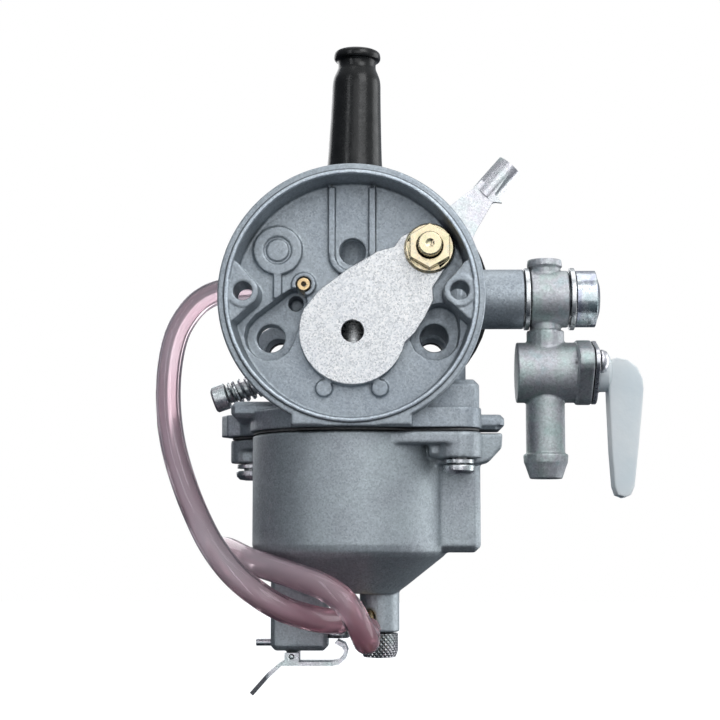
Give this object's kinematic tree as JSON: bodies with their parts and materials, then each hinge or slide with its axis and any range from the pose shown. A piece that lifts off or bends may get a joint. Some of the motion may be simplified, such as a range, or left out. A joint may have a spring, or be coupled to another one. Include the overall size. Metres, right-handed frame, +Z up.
{
  "type": "carburetor",
  "caption": "Small slide-valve carburetor with a round air-filter cup, choke plate and lever, fuel tap, float bowl, black cable boot and clear hoses.",
  "frame": {"origin": "centre of the throttle bore on the face that meets the engine", "axes": "+Z up along the throttle slide, +X towards the fuel tap, +Y towards the engine"},
  "size_m": [0.105, 0.0513, 0.1406],
  "materials": {
    "cast_alloy": "as cast, fine grain",
    "zinc_steel": "zinc plated",
    "spring_steel": "plated wire",
    "bolt_steel": "zinc plated, clear chromate",
    "stainless": "ground",
    "brass": "turned",
    "yellow_zinc": "yellow chromate",
    "machined_alloy": "machined",
    "black_rubber": "satin",
    "black_phenolic": "moulded",
    "gasket_fibre": "pressed fibre",
    "white_nylon": "moulded, translucent",
    "clear_pink_hose": "clear extruded",
    "float_plastic": "closed cell foam",
    "seal_rubber": "moulded"
  },
  "bodies": {
    "carburetor": {"carb_body": "cast_alloy", "float_bowl": "cast_alloy", "mixing_chamber_cap": "cast_alloy", "fuel_tap_body": "cast_alloy", "bowl_screw_front": "zinc_steel", "bowl_screw_rear": "zinc_steel", "spring_washer_front": "zinc_steel", "spring_washer_rear": "zinc_steel", "tap_cover_plate": "zinc_steel", "tap_screw_front": "zinc_steel", "tap_screw_rear": "zinc_steel", "tap_wave_washer": "zinc_steel", "drain_lever_pin": "zinc_steel", "lever_stop_pin": "zinc_steel", "drain_plug": "zinc_steel", "float_pin": "zinc_steel", "adjuster_nut": "zinc_steel", "cable_adjuster": "zinc_steel", "slide_spring": "spring_steel", "stop_screw_spring": "spring_steel", "plunger_spring": "spring_steel", "banjo_bolt": "bolt_steel", "needle_jet": "brass", "main_jet": "brass", "pilot_jet": "brass", "air_jet": "brass", "needle_seat": "brass", "vent_nipple": "brass", "overflow_nipple": "brass", "outlet_nipple": "brass", "return_nipple": "brass", "banjo_washer_inner": "machined_alloy", "banjo_washer_outer": "machined_alloy", "cable_boot": "black_rubber", "heat_insulator": "black_phenolic", "bowl_gasket": "gasket_fibre", "vent_hose": "clear_pink_hose", "drain_hose": "clear_pink_hose", "tap_seal": "seal_rubber", "plunger_seal": "seal_rubber"},
    "throttle": {"throttle_slide": "machined_alloy", "jet_needle": "stainless", "needle_clip": "spring_steel"},
    "choke": {"choke_plate": "zinc_steel", "choke_shaft": "yellow_zinc", "choke_nut": "yellow_zinc", "choke_lever": "zinc_steel", "choke_washer": "zinc_steel"},
    "stop_screw": {"throttle_stop_screw": "zinc_steel"},
    "tap_handle": {"fuel_tap_lever": "white_nylon"},
    "drain_rocker": {"drain_lever": "zinc_steel"},
    "drain_valve": {"drain_plunger": "zinc_steel"},
    "float_body": {"float": "float_plastic"},
    "float_valve": {"float_needle": "stainless"}
  },
  "joints": [
    {"name": "throttle_lift", "type": "slide", "parent": "carburetor", "child": "throttle", "axis": [0, 0, 1], "range_m": [0, 0.0155], "stiffness_N_per_m": 250, "springref_m": -0.01, "deforming": ["slide_spring"]},
    {"name": "choke_turn", "type": "hinge", "parent": "carburetor", "child": "choke", "pos_m": [0.016, -0.0379, 0.0177], "axis": [0, 1, 0], "range_deg": [0, 48]},
    {"name": "stop_screw_turn", "type": "hinge", "parent": "carburetor", "child": "stop_screw", "pos_m": [-0.0288, -0.022, -0.0112], "axis": [0.9444, 0, 0.3289], "range_deg": [-360, 360]},
    {"name": "tap_turn", "type": "hinge", "parent": "carburetor", "child": "tap_handle", "pos_m": [0.0525, -0.022, -0.0059], "axis": [-1, 0, 0], "range_deg": [0, 90]},
    {"name": "drain_press", "type": "hinge", "parent": "carburetor", "child": "drain_rocker", "pos_m": [-0.0131, -0.0225, -0.0665], "axis": [0, -1, 0], "range_deg": [0, 9.2]},
    {"name": "drain_valve_lift", "type": "slide", "parent": "carburetor", "child": "drain_valve", "axis": [0, 0, 1], "range_m": [0, 0.0015], "stiffness_N_per_m": 120, "springref_m": -0.004, "deforming": ["plunger_spring"]},
    {"name": "float_swing", "type": "hinge", "parent": "carburetor", "child": "float_body", "pos_m": [0.0206, -0.025, -0.0226], "axis": [0, 1, 0], "range_deg": [0, 5]},
    {"name": "float_needle_lift", "type": "slide", "parent": "carburetor", "child": "float_valve", "axis": [0, 0, 1], "range_m": [0, 0.0007]}
  ],
  "couplings": [
    {"joint": "drain_press", "follows": "drain_valve_lift", "rad_per_m": 104},
    {"joint": "float_needle_lift", "follows": "float_swing", "m_per_rad": 0.0074}
  ]
}
